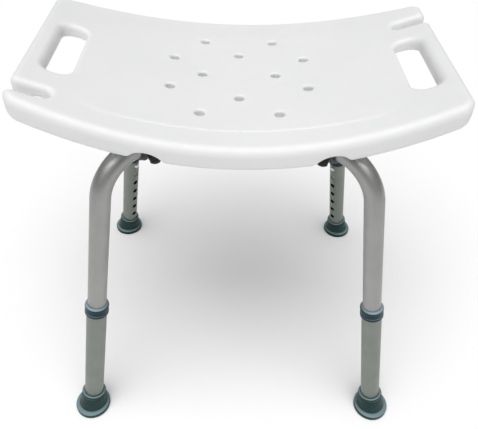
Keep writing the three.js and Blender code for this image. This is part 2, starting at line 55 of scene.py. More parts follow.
# ---- driving dimensions, the same as the CAD model's ---------------------------------------
SEAT_HALF_WIDTH = 256
SEAT_HALF_DEPTH_MIDDLE = 161
SEAT_HALF_DEPTH_END = 132.5
SEAT_TOP = 479.5
SEAT_END_RISE = 49
SEAT_RIM_DEPTH = 29
SEAT_PANEL_DEPTH = 18
SEAT_CORNER = 15
SEAT_TOP_ROUNDING = 11
SEAT_BOTTOM_ROUNDING = 7
PANEL_HALF_WIDTH = 176
PANEL_HALF_DEPTH = 112
PANEL_BOW = 12
PANEL_RISE = 1
PANEL_STEP = 3
PANEL_SOFT_STEP = 45
RECESS_HALF_WIDTH = 242
RECESS_HALF_DEPTH = 94
RECESS_BOW = 45
RECESS_CORNER = 16
PANEL_CORNER = 24
SLOT_CORNER = 14
BOSS_LOW = 449.5
BOSS_HIGH = 477.5
BOSS_HALF_LENGTH = 14
BOSS_HALF_WIDTH = 27
SLOTS = [(-216, 0.8), (218, -18.5)]
SLOT_HALF_WIDTH = 16
SLOT_HALF_LENGTH = 58
SLOT_FLARE = 7
NOTCHES = [(-1, -105), (1, 85.3)]
NOTCH_RADIUS = 8
NOTCH_INNER = 211
NOTCH_FLARE = 8
DRAIN_RADIUS = 5.5
DRAIN_FLARE = 3
DRAINS = [
    (-47, 90), (47, 90), (-85.5, 36.5), (85.5, 36.5), (0, 54), (-47, 0),
    (47, 0), (-85.5, -36.5), (85.5, -36.5), (0, -54), (-47, -90), (47, -90),
]
ARCH_X = 104
ARCH_HALF_WIDTH = 18
ARCH_HEIGHT = 11

LEG_AZIMUTH = math.radians(42.2)
LEG_LEAN = math.radians(11.62)
FOOT_REACH = 303.4
CORNERS = {
    "front_left": math.pi + LEG_AZIMUTH,
    "front_right": -LEG_AZIMUTH,
    "back_left": math.pi - LEG_AZIMUTH,
    "back_right": LEG_AZIMUTH,
}
TUBE_OUTER = 12.7
TUBE_INNER = 11.4
TUBE_LOW = 166
BEND_START = 407.4
BEND_RADIUS = 57
HUB_GAP = 22
SLEEVE_OUTER = 14.1
SLEEVE_INNER = 13.0
SLEEVE_LOW = 9
SLEEVE_HIGH = 226
HOLE_TOP = 202.5
HOLE_PITCH = 24
HOLE_COUNT = 7
HOLE_RADIUS = 4.7
CLAMP_REACH = 153
CLAMP_WIDTH = 24
CLAMP_EAR = 43
CLAMP_SWEEP = 10
CLAMP_TOP = 449.2
CLAMP_THICKNESS = 3.5
SCREW_OFFSET = 21.5
FOOT_FLOOR = 6.4
VENT_Y = -98


def tube_height():
    along = BEND_START + BEND_RADIUS * math.cos(LEG_LEAN)
    across = BEND_RADIUS * (1 - math.sin(LEG_LEAN))
    return along * math.cos(LEG_LEAN) - across * math.sin(LEG_LEAN)


TUBE_HEIGHT = tube_height()

# ---- places --------------------------------------------------------------------------------


def corner_place(azimuth):
    """A corner's upright frame: X outwards, Z up, from the middle of the floor."""
    return Matrix.Rotation(azimuth, 4, "Z")


def leg_place(azimuth):
    """A leg's own frame: X inwards across the leg, Z up along it, from the foot."""
    inward = Vector((-math.cos(LEG_LEAN), 0, -math.sin(LEG_LEAN)))
    along = Vector((-math.sin(LEG_LEAN), 0, math.cos(LEG_LEAN)))
    axes = Matrix((inward, along.cross(inward), along)).transposed().to_4x4()
    axes.translation = Vector((FOOT_REACH * MM, 0, 0))
    return corner_place(azimuth) @ axes


# ---- meshes from rings ---------------------------------------------------------------------


class Shell:
    """Collects rings of points and the bands of faces between them."""

    def __init__(self):
        self.points = []
        self.faces = []

    def ring(self, points):
        first = len(self.points)
        self.points.extend(tuple(p) for p in points)
        return list(range(first, len(self.points)))

    def band(self, a, b):
        for i in range(len(a)):
            j = (i + 1) % len(a)
            self.faces.append((a[i], a[j], b[j], b[i]))

    def bands(self, rings, closed=False):
        for a, b in zip(rings, rings[1:]):
            self.band(a, b)
        if closed:
            self.band(rings[-1], rings[0])

    def cap(self, ring):
        self.faces.append(tuple(ring))


def circle(radius, height, count, centre=(0, 0), tilt=0.0):
    """A ring about Z, leaning about Y by tilt."""
    turns = [2 * math.pi * i / count for i in range(count)]
    return [
        (
            centre[0] + radius * math.cos(t) * math.cos(tilt),
            centre[1] + radius * math.sin(t),
            height + radius * math.cos(t) * math.sin(tilt),
        )
        for t in turns
    ]


def fillet(start, corner, end, steps=4):
    """Points of a soft curve from start to end that leans towards corner."""
    curve = []
    for i in range(steps + 1):
        t = i / steps
        weights = ((1 - t) ** 2, 2 * t * (1 - t), t * t)
        curve.append(tuple(sum(w * p[k] for w, p in zip(weights, (start, corner, end))) for k in (0, 1)))
    return curve


def turned(profile, count=48, closed=False):
    """A profile of (radius, height) turned about Z, capped at both ends or closed on itself."""
    shell = Shell()
    rings = [shell.ring(circle(radius, height, count)) for radius, height in profile]
    shell.bands(rings, closed)
    if not closed:
        shell.cap(rings[0])
        shell.cap(rings[-1])
    return shell


def add_piece(name, mesh, body, finish, replaced=(), place=None):
    piece = bpy.data.objects.new(name, mesh)
    bpy.context.scene.collection.objects.link(piece)
    if not mesh.materials:
        mesh.materials.append(finish)
    if place is not None:
        piece.matrix_world = place
    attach(piece, body)
    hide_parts(*(replaced or [name.replace("look_", "")]))
    return piece


def shell_mesh(name, shell, sharp=40):
    """A closed mesh in metres from a shell, smooth but for edges over the sharp angle."""
    mesh = bpy.data.meshes.new(name)
    mesh.from_pydata([tuple(c * MM for c in p) for p in shell.points], [], shell.faces)
    work = bmesh.new()
    work.from_mesh(mesh)
    bmesh.ops.remove_doubles(work, verts=work.verts, dist=1e-6)
    bmesh.ops.recalc_face_normals(work, faces=work.faces)
    work.to_mesh(mesh)
    work.free()
    mesh.shade_smooth()
    mesh.set_sharp_from_angle(angle=math.radians(sharp))
    return mesh


# ---- meshes from fields: a field is negative inside the solid ------------------------------


def rounded_and(a, b, radius):
    """What is inside both a and b, with their shared edge rounded."""
    p = a + radius
    q = b + radius
    return np.minimum(np.maximum(p, q), 0) + np.hypot(np.maximum(p, 0), np.maximum(q, 0)) - radius


def rounded_cut(solid, tool, radius):
    return rounded_and(solid, -tool, radius)


def rounded_or(a, b, radius):
    return -rounded_and(-a, -b, radius)


def smooth_step(x):
    t = np.clip(x, 0, 1)
    return t * t * (3 - 2 * t)


def gradient(field, points, reach=0.02):
    slopes = []
    for axis in range(3):
        shift = np.zeros(3)
        shift[axis] = reach
        ahead = field(*(points + shift).T)
        behind = field(*(points - shift).T)
        slopes.append((ahead - behind) / (2 * reach))
    return np.stack(slopes, axis=1)


def crossing_means(value, cells):
    """For each cell, the mean of the places where its edges cross the surface, in grid steps."""
    total = np.zeros((len(cells), 3))
    found = np.zeros(len(cells))
    for axis in range(3):
        for side_a in (0, 1):
            for side_b in (0, 1):
                start = cells.copy()
                start[:, (axis + 1) % 3] += side_a
                start[:, (axis + 2) % 3] += side_b
                stop = start.copy()
                stop[:, axis] += 1
                v0 = value[tuple(start.T)]
                v1 = value[tuple(stop.T)]
                hit = (v0 < 0) != (v1 < 0)
                point = start[hit].astype(float)
                point[:, axis] += v0[hit] / (v0[hit] - v1[hit])
                total[hit] += point
                found[hit] += 1
    return total / found[:, None]


def surface_faces(inside, index):
    """Four cells meet round each grid edge that crosses the surface; they make one face."""
    faces = []
    for axis in range(3):
        a, b = (axis + 1) % 3, (axis + 2) % 3
        change = np.diff(inside.astype(np.int8), axis=axis)
        edges = np.argwhere(change != 0)
        leaving = change[tuple(edges.T)] < 0
        around = []
        for step_a, step_b in ((0, 0), (1, 0), (1, 1), (0, 1)):
            cell = edges.copy()
            cell[:, a] -= step_a
            cell[:, b] -= step_b
            around.append(index[tuple(cell.T)])
        quads = np.stack(around, axis=1)
        quads[~leaving] = quads[~leaving][:, ::-1]
        faces.append(quads)
    return np.concatenate(faces)


def field_mesh(name, field, low, high, step, keep=1.0):
    """A mesh of the field's surface on a grid, thinned to a share of its faces where it is flat."""
    low = np.array(low, float)
    counts = [int(math.ceil((h - l) / step)) + 1 for l, h in zip(low, high)]
    axes = [l + step * np.arange(n) for l, n in zip(low, counts)]
    value = field(*np.meshgrid(*axes, indexing="ij"))
    inside = value < 0
    corners = sum(
        inside[i:counts[0] - 1 + i, j:counts[1] - 1 + j, k:counts[2] - 1 + k].astype(np.int8)
        for i in (0, 1) for j in (0, 1) for k in (0, 1)
    )
    mixed = (corners > 0) & (corners < 8)
    index = np.full(mixed.shape, -1)
    index[mixed] = np.arange(mixed.sum())
    points = low + step * crossing_means(value, np.argwhere(mixed))
    for _ in range(4):
        slope = gradient(field, points)
        size = np.maximum((slope**2).sum(axis=1), 0.05)
        move = slope * (field(*points.T) / size)[:, None]
        points -= np.clip(move, -step / 2, step / 2)
    faces = surface_faces(inside, index)
    mesh = bpy.data.meshes.new(name)
    mesh.from_pydata((points * MM).tolist(), [], faces.tolist())
    if keep < 1:
        mesh = thinned(mesh, keep)
    smooth_by_field(mesh, field)
    return mesh


def thinned(mesh, keep):
    helper = bpy.data.objects.new("thin", mesh)
    bpy.context.scene.collection.objects.link(helper)
    thin = helper.modifiers.new("thin", "DECIMATE")
    thin.ratio = keep
    depsgraph = bpy.context.evaluated_depsgraph_get()
    result = bpy.data.meshes.new_from_object(helper.evaluated_get(depsgraph))
    bpy.data.objects.remove(helper)
    return result


def smooth_by_field(mesh, field):
    points = np.empty(len(mesh.vertices) * 3)
    mesh.vertices.foreach_get("co", points)
    slope = gradient(field, points.reshape(-1, 3) / MM)
    length = np.maximum(np.linalg.norm(slope, axis=1), 1e-6)
    mesh.shade_smooth()
    mesh.normals_split_custom_set_from_vertices((slope / length[:, None]).tolist())


# ---- the seat ------------------------------------------------------------------------------
CURVE = 2 * SEAT_END_RISE / SEAT_HALF_WIDTH**2


def outline_field(x, y):
    bow = SEAT_HALF_DEPTH_MIDDLE - SEAT_HALF_DEPTH_END
    depth = SEAT_HALF_DEPTH_END + bow * (1 - (x / SEAT_HALF_WIDTH) ** 2)
    lean = 2 * bow * x / SEAT_HALF_WIDTH**2
    front = (np.abs(y) - depth) / np.hypot(1, lean)
    return rounded_and(front, np.abs(x) - SEAT_HALF_WIDTH, SEAT_CORNER)


def bowed_box(x, y, half_width, half_depth, bow, corner):
    depth = half_depth + bow * (1 - (x / half_width) ** 2)
    return rounded_and(np.abs(x) - half_width, np.abs(y) - depth, corner)


def notch_field(x, y):
    cuts = []
    for side, centre in NOTCHES:
        inner = NOTCH_INNER + NOTCH_RADIUS
        cuts.append(np.hypot(np.maximum(inner - side * x, 0), y - centre) - NOTCH_RADIUS)
    return np.minimum(*cuts)


def slot_field(x, y):
    cuts = []
    for middle, centre in SLOTS:
        across = np.abs(x - middle) - SLOT_HALF_WIDTH
        cuts.append(rounded_and(across, np.abs(y - centre) - SLOT_HALF_LENGTH, SLOT_CORNER))
    return np.minimum(*cuts)


def drain_field(x, y):
    nearest = np.full(x.shape, 1e3)
    for place, centre in DRAINS:
        nearest = np.minimum(nearest, np.hypot(x - place, y - centre))
    return nearest - DRAIN_RADIUS


def panel_rise(x, y):
    """The raised middle of the top: a crisp edge along the front that fades out round the back."""
    panel = bowed_box(x, y, PANEL_HALF_WIDTH, PANEL_HALF_DEPTH, PANEL_BOW, PANEL_CORNER)
    step = PANEL_STEP + (PANEL_SOFT_STEP - PANEL_STEP) * smooth_step((y + 120) / 24)
    return PANEL_RISE * smooth_step(0.5 - panel / step)


def boss_field(x, y, z):
    """The four blocks under the seat that the clamps screw into, each grooved for its tube."""
    blocks = np.full(x.shape, 1e3)
    for azimuth in CORNERS.values():
        out = x * math.cos(azimuth) + y * math.sin(azimuth) - CLAMP_REACH
        side = y * math.cos(azimuth) - x * math.sin(azimuth)
        block = rounded_and(np.abs(out) - BOSS_HALF_LENGTH, np.abs(side) - BOSS_HALF_WIDTH, 4)
        block = rounded_and(block, np.maximum(BOSS_LOW - z, z - BOSS_HIGH), 1.2)
        groove = np.hypot(side, z - TUBE_HEIGHT) - TUBE_OUTER - 0.3
        blocks = np.minimum(blocks, rounded_cut(block, groove, 1))
    return blocks


def seat_field(x, y, z):
    height = (z - SEAT_TOP - CURVE * x**2 / 2) / np.hypot(1, CURVE * x)
    outline = outline_field(x, y)
    solid = np.maximum(
        rounded_and(outline, height - panel_rise(x, y), SEAT_TOP_ROUNDING),
        rounded_and(outline, -SEAT_RIM_DEPTH - height, SEAT_BOTTOM_ROUNDING),
    )
    recess = bowed_box(x, y, RECESS_HALF_WIDTH, RECESS_HALF_DEPTH, RECESS_BOW, RECESS_CORNER)
    solid = rounded_cut(solid, rounded_and(recess, height + SEAT_PANEL_DEPTH, 5), 4)
    across = (np.abs(x) - ARCH_X) / ARCH_HALF_WIDTH
    arch = (np.hypot(across, (height + SEAT_RIM_DEPTH) / ARCH_HEIGHT) - 1) * ARCH_HEIGHT
    solid = rounded_cut(solid, arch, 3.5)
    solid = rounded_cut(solid, slot_field(x, y), SLOT_FLARE)
    solid = rounded_cut(solid, notch_field(x, y), NOTCH_FLARE)
    solid = rounded_cut(solid, drain_field(x, y), DRAIN_FLARE)
    return rounded_or(solid, boss_field(x, y, z), 3)


def make_seat(finish):
    low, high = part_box("seat_shell")
    margin = 4
    step = 2.0
    mesh = field_mesh(
        "seat", seat_field,
        [c / MM - margin for c in low], [c / MM + margin for c in high],
        step, keep=0.4,
    )
    return add_piece("look_seat", mesh, "seat_frame", finish, ["seat_shell"])


# ---- drilled tubes -------------------------------------------------------------------------


def on_wall(radius, turn, height):
    return (radius * math.cos(turn), radius * math.sin(turn), height)


def drilled_wall(shell, radius, levels, holes, count=48, window=6, depth=0.25):
    """A round wall with holes facing +X. Returns its lowest and highest rings and each hole's edge."""
    rows = {}
    for height in levels:
        turns = [2 * math.pi * i / count for i in range(count)]
        rows[height] = shell.ring(on_wall(radius, t, height) for t in turns)
    edges = []
    windows = [(hole - HOLE_PITCH / 3, hole + HOLE_PITCH / 3, hole) for hole in holes]
    for low, high in zip(levels, levels[1:]):
        open_here = any(a - 1e-6 <= low and high <= b + 1e-6 for a, b, _ in windows)
        for i in range(count):
            j = (i + 1) % count
            if open_here and (i < window or i >= count - window):
                continue
            shell.faces.append((rows[low][i], rows[low][j], rows[high][j], rows[high][i]))
    for low, high, hole in windows:
        inner = [h for h in levels if low - 1e-6 <= h <= high + 1e-6]
        columns = list(range(-window, window + 1))
        loop = [(i, inner[0]) for i in columns]
        loop += [(window, h) for h in inner[1:-1]]
        loop += [(i, inner[-1]) for i in reversed(columns)]
        loop += [(-window, h) for h in reversed(inner[1:-1])]
        border = [rows[h][i % count] for i, h in loop]
        places = [(2 * math.pi * i / count, h) for i, h in loop]
        edges.append(hole_patch(shell, radius, hole, border, places, depth))
    return rows[levels[0]], rows[levels[-1]], edges


def hole_patch(shell, radius, hole, border, places, depth):
    rings = [border]
    for share, size in ((0.4, 0), (0.75, 0), (1, 0.45)):
        points = []
        for turn, height in places:
            around = math.atan2(height - hole, radius * turn)
            reach = HOLE_RADIUS + size
            edge_turn = math.asin(reach * math.cos(around) / radius)
            edge_height = hole + reach * math.sin(around)
            points.append(on_wall(
                radius,
                turn + share * (edge_turn - turn),
                height + share * (edge_height - height),
            ))
        rings.append(shell.ring(points))
    lip = []
    for turn, height in places:
        around = math.atan2(height - hole, radius * turn)
        side = HOLE_RADIUS * math.cos(around)
        lip.append((math.sqrt(radius**2 - side**2) - depth, side, hole + HOLE_RADIUS * math.sin(around)))
    rings.append(shell.ring(lip))
    shell.bands(rings)
    return rings[-1]


def wall_levels(low, high, holes):
    levels = {low, high}
    for hole in holes:
        for part in (-1, -0.5, 0, 0.5, 1):
            levels.add(hole + part * HOLE_PITCH / 3)
    return sorted(levels)


def drilled_tube(shell, outer, inner, low, high, holes):
    """A tube's two walls, joined at the low end and through the holes. Returns the two high rings."""
    levels = wall_levels(low, high, holes)
    eased = [low + 0.4, *levels[1:]]
    bottom_out, top_out, holes_out = drilled_wall(shell, outer, eased, holes)
    bottom_in, top_in, holes_in = drilled_wall(shell, inner, levels, holes, depth=-0.1)
    lip = shell.ring(circle(outer - 0.35, low, len(bottom_out)))
    shell.bands([bottom_out, lip, bottom_in])
    for edge_out, edge_in in zip(holes_out, holes_in):
        shell.band(edge_out, edge_in)
    return top_out, top_in


def make_sleeve_mesh():
    shell = Shell()
    holes = [HOLE_TOP - i * HOLE_PITCH for i in range(HOLE_COUNT)]
    top_out, top_in = drilled_tube(shell, SLEEVE_OUTER, SLEEVE_INNER, SLEEVE_LOW, SLEEVE_HIGH, holes)
    shell.band(top_out, top_in)
    return shell_mesh("sleeve", shell)


def bend_ring(radius, angle, beyond, count):
    """A section of the leg tube: angle round its bend, then beyond the bend towards the hub."""
    across = BEND_RADIUS * (1 - math.cos(angle)) + beyond * math.sin(angle)
    along = BEND_START + BEND_RADIUS * math.sin(angle) + beyond * math.cos(angle)
    turns = [2 * math.pi * i / count for i in range(count)]
    return [
        (
            across + radius * math.cos(t) * math.cos(angle),
            radius * math.sin(t),
            along - radius * math.cos(t) * math.sin(angle),
        )
        for t in turns
    ]


def make_tube_mesh():
    shell = Shell()
    top_out, top_in = drilled_tube(shell, TUBE_OUTER, TUBE_INNER, TUBE_LOW, BEND_START, [HOLE_TOP])
    turn = math.pi / 2 - LEG_LEAN
    count = len(top_out)
    stations = [(turn * i / 24, 0) for i in range(1, 25)]
    across = BEND_RADIUS * (1 - math.cos(turn)) * math.cos(LEG_LEAN)
    along = (BEND_START + BEND_RADIUS * math.sin(turn)) * math.sin(LEG_LEAN)
    stations.append((turn, FOOT_REACH - across - along - HUB_GAP))
    ends = []
    for radius, start in ((TUBE_OUTER, top_out), (TUBE_INNER, top_in)):
        rings = [start]
        rings += [shell.ring(bend_ring(radius, angle, beyond, count)) for angle, beyond in stations]
        shell.bands(rings)
        ends.append(rings[-1])
    shell.band(*ends)
    return shell_mesh("leg_tube", shell)


# ---- collars, feet, buttons, springs, washers ----------------------------------------------


def make_collar_mesh():
    outer, low, high = 16.4, 213.2, 230.5
    profile = [
        (SLEEVE_OUTER + 0.3, low),
        *fillet((outer - 1.1, low), (outer, low), (outer, low + 1.4)),
        (outer, low + 4.6),
        *fillet((outer, low + 4.9), (outer - 0.45, low + 5.2), (outer - 0.45, low + 5.8), 3),
        *fillet((outer - 0.45, high - 5.2), (outer - 0.45, high - 4.6), (outer, high - 4.3), 3),
        *fillet((outer, high - 3.4), (outer, high - 2.2), (outer - 0.9, high - 1.3)),
        *fillet((outer - 1.8, high - 0.5), (outer - 2.3, high), (outer - 2.9, high), 3),
        (TUBE_OUTER + 0.25, high),
        (TUBE_OUTER + 0.25, SLEEVE_HIGH + 0.3),
        (SLEEVE_OUTER + 0.3, SLEEVE_HIGH + 0.3),
    ]
    return shell_mesh("collar", turned(profile, closed=True))


def make_foot_mesh():
    """The flange lies flat on the floor and flows into a cup that leans with the leg."""
    flange, cup_base, cup_top, cup_height = 26.5, 20.5, 17.4, 37
    shell = Shell()
    count = 48
    flat = [(0.01, 1.6), (7, 1.6), (8, 0), (11, 0), (11.6, 1.2), (13.4, 1.2), (14, 0), (17, 0)]
    flat += [(17.6, 1.2), (19.4, 1.2), (20, 0), (flange - 2, 0)]
    flat += fillet((flange - 1.4, 0), (flange, 0), (flange, 1.6))
    flat += [(flange, 5.2)]
    flat += fillet((flange, 5.6), (flange, 7.4), (flange - 1.9, 8.0))
    rings = [circle(radius, height, count) for radius, height in flat]

    def leaning(radius, height, lean_share):
        lean = LEG_LEAN * lean_share
        centre = -height * math.sin(LEG_LEAN)
        return circle(radius, height * math.cos(LEG_LEAN), count, (centre, 0), lean)

    rings.append(leaning(cup_base + 2.2, 9.6, 0.1))
    rings.append(leaning(cup_base + 0.9, 11.0, 0.35))
    rings.append(leaning(cup_base + 0.2, 13.0, 0.65))
    rings.append(leaning(cup_base - 0.3, 15.6, 1))
    slope = (cup_top - cup_base + 0.5) / (cup_height - 16)
    for height in (20, 24, 28, 31.5):
        rings.append(leaning(cup_base - 0.3 + slope * (height - 15.6), height, 1))
    lip = [(cup_top + 0.2, 32.4), (cup_top + 0.75, 33.2), (cup_top + 0.8, 35.2), (cup_top + 0.1, 36.6)]
    lip += [(cup_top - 0.9, cup_height), (SLEEVE_OUTER + 0.6, cup_height - 0.2)]
    lip += [(SLEEVE_OUTER + 0.3, cup_height - 1.2), (SLEEVE_OUTER + 0.3, FOOT_FLOOR)]
    rings += [leaning(radius, height, 1) for radius, height in lip]
    indexed = [shell.ring(r) for r in rings]
    shell.bands(indexed)
    shell.cap(indexed[0])
    shell.cap(indexed[-1])
    return shell_mesh("foot", shell)


def make_button_mesh():
    radius, tip, flange = 4.4, 17.3, 5.4
    dome = [
        (radius * math.cos(math.radians(a)), tip - 2.6 + 2.6 * math.sin(math.radians(a)))
        for a in range(0, 90, 10)
    ]
    profile = [(flange - 0.4, 7.4), (flange, 7.8), (flange, 8.8), (flange - 0.4, 9.2), (radius, 9.2)]
    profile += [*dome, (0.05, tip)]
    shell = turned(profile, 32)
    shell.points = [(z, y, HOLE_TOP - x) for x, y, z in shell.points]
    return shell_mesh("button", shell)


def make_spring_mesh():
    """A folded strip whose one arm backs the button and whose other arm lies on the far wall."""
    thickness, half = 0.6, 3.2
    path = [(6.6, 4.5), (6.6, -5), (4.3, -15), (1.9, -25), (1.2, -27.6), (0, -28.8)]
    path += [(-1.2, -27.6), (-2.2, -25), (-6, -15), (-10, -6), (-9.9, -2), (-9.6, 1)]
    shell = Shell()
    rings = []
    for i, (x, z) in enumerate(path):
        before = path[max(i - 1, 0)]
        after = path[min(i + 1, len(path) - 1)]
        span = math.hypot(after[0] - before[0], after[1] - before[1])
        nx = (after[1] - before[1]) / span * thickness / 2
        nz = -(after[0] - before[0]) / span * thickness / 2
        corners = [(x + nx, -half, z + nz), (x + nx, half, z + nz)]
        corners += [(x - nx, half, z - nz), (x - nx, -half, z - nz)]
        rings.append(shell.ring((a, b, HOLE_TOP + c) for a, b, c in corners))
    shell.bands(rings)
    shell.cap(rings[0])
    shell.cap(rings[-1])
    return shell_mesh("spring", shell, sharp=50)


def make_washer_mesh():
    low, high = FOOT_FLOOR + 0.2, SLEEVE_LOW - 0.2
    profile = [(7, low + 0.2), (7.2, low), (13.3, low), (13.6, low + 0.3)]
    profile += [(13.6, high - 0.3), (13.3, high), (7.2, high), (7, high - 0.2)]
    return shell_mesh("washer", turned(profile, 40, closed=True), sharp=30)


def make_plug_mesh():
    ceiling = SEAT_TOP - SEAT_PANEL_DEPTH
    profile = [(0.05, ceiling - 2.6), (3, ceiling - 2.5), (6, ceiling - 2.2)]
    profile += fillet((7.2, ceiling - 2), (8.5, ceiling - 1.7), (8.5, ceiling - 0.3))
    profile += [(4.7, ceiling - 0.3), (4.7, ceiling + 4), (3.5, ceiling + 5.5), (0.05, ceiling + 5.5)]
    return shell_mesh("plug", turned(profile, 40))


# ---- clamps, hub and screws ----------------------------------------------------------------


def clamp_field(out, side, z):
    """In a corner's frame: a saddle under the tube with an ear on each side."""
    half = CLAMP_THICKNESS / 2
    middle = TUBE_OUTER + 0.3 + half
    far = np.abs(side)
    below = np.abs(np.hypot(side, z - TUBE_HEIGHT) - middle) - half
    saddle = np.maximum(below, z - TUBE_HEIGHT)
    cheek = rounded_and(np.abs(far - middle) - half, np.abs(z - (TUBE_HEIGHT + CLAMP_TOP) / 2) - 2.4, 0.3)
    ear_low = CLAMP_TOP - CLAMP_THICKNESS
    ear = rounded_and(np.abs(z - CLAMP_TOP + half) - half, middle - half - far, 0.3)
    strap = rounded_or(np.minimum(saddle, cheek), ear, 2)
    rib = np.maximum(np.hypot(side, z - TUBE_HEIGHT) - middle - half - 1.6, z - ear_low)
    rib = np.maximum(rib, np.abs(np.abs(out - CLAMP_REACH) - 7) - 1.3)
    rib = np.maximum(rib, TUBE_OUTER + 0.3 - np.hypot(side, z - TUBE_HEIGHT))
    strap = rounded_or(strap, rib, 1)
    outer = CLAMP_REACH + CLAMP_WIDTH / 2 + 5 * np.clip((far - 20) / 19, 0, 1)
    inner = CLAMP_REACH - CLAMP_WIDTH / 2 + 15 * np.clip((far - 26) / 13, 0, 1)
    nose = np.hypot(out - CLAMP_REACH - CLAMP_SWEEP, np.maximum(far - CLAMP_EAR + 7, 0)) - 7
    plan = np.where(far > CLAMP_EAR - 7, nose, np.maximum(out - outer, inner - out))
    solid = rounded_and(strap, plan, 0.9)
    return rounded_and(solid, z - CLAMP_TOP, 0.6)


def make_clamp_mesh():
    radius = TUBE_OUTER + CLAMP_THICKNESS + 3
    low = [CLAMP_REACH - CLAMP_WIDTH / 2 - 2, -CLAMP_EAR - 2, TUBE_HEIGHT - radius]
    high = [CLAMP_REACH + CLAMP_SWEEP + 9, CLAMP_EAR + 2, CLAMP_TOP + 2]
    return field_mesh("clamp", clamp_field, low, high, 0.9, keep=0.5)


def hub_field(x, y, z):
    bottom, top, radius, arm, reach = 427, 461, 30, 16.4, 58
    disc = rounded_and(np.hypot(x, y) - radius, np.abs(z - (bottom + top) / 2) - (top - bottom) / 2, 2.5)
    solid = disc
    sockets = np.full(x.shape, 1e3)
    for azimuth in CORNERS.values():
        out = x * math.cos(azimuth) + y * math.sin(azimuth)
        side = y * math.cos(azimuth) - x * math.sin(azimuth)
        across = np.hypot(side, z - TUBE_HEIGHT)
        sleeve = rounded_and(across - arm, np.maximum(out - reach, 1 - out), 1.2)
        solid = rounded_or(solid, sleeve, 3)
        sockets = np.minimum(sockets, np.maximum(across - 13, HUB_GAP - 0.3 - out))
    dish = rounded_and(np.hypot(x, y) - 19, z - bottom - 0.2, 0.6)
    web = np.abs(np.hypot(x, y) - 21.8) - 1.1
    solid = rounded_cut(solid, np.maximum(dish, -web), 0.4)
    solid = rounded_cut(solid, np.maximum(np.hypot(x, y) - 2.8, z - bottom - 20), 0.3)
    return rounded_cut(solid, sockets, 0.5)


def make_hub_mesh():
    return field_mesh("hub", hub_field, [-64, -60, 424], [64, 60, 464], 1.4, keep=0.5)


def screw_head_field(head, height):
    def field(x, y, z):
        dome = (np.hypot(np.hypot(x, y) / head, z / height) - 1) * height
        solid = rounded_and(dome, z, 0.25)
        solid = np.maximum(solid, -height * 0.86 - z)
        deep = -height * 0.35
        bar = rounded_and(np.abs(x) - 0.42 * head, np.abs(y) - 0.13 * head, 0.1)
        cross = np.minimum(bar, rounded_and(np.abs(y) - 0.42 * head, np.abs(x) - 0.13 * head, 0.1))
        return rounded_cut(solid, np.maximum(cross, z - deep), 0.12)

    return field


def make_screw_mesh(name, shank, length, head, height):
    """A pan-head screw, head down, whose head meets the work at z = 0, with a coarse thread."""
    head_mesh = field_mesh(
        name, screw_head_field(head, height), [-head - 0.4] * 2 + [-height - 0.4],
        [head + 0.4] * 2 + [0.5], 0.3, keep=0.6,
    )
    profile = [(shank * 0.8, -0.3), (shank * 0.8, 0.6)]
    for i in range(int((length - 2.5) / 1.4)):
        profile += [(shank, 1 + 1.4 * i), (shank * 0.78, 1.5 + 1.4 * i), (shank * 0.78, 2 + 1.4 * i)]
    profile += [(shank * 0.7, length - 1.2), (0.1, length)]
    thread = shell_mesh(f"{name}_thread", turned(profile, 16))
    work = bmesh.new()
    work.from_mesh(head_mesh)
    work.from_mesh(thread)
    joined = bpy.data.meshes.new(name)
    work.to_mesh(joined)
    work.free()
    joined.shade_smooth()
    joined.set_sharp_from_angle(angle=math.radians(45))
    return joined


# ---- finishes ------------------------------------------------------------------------------


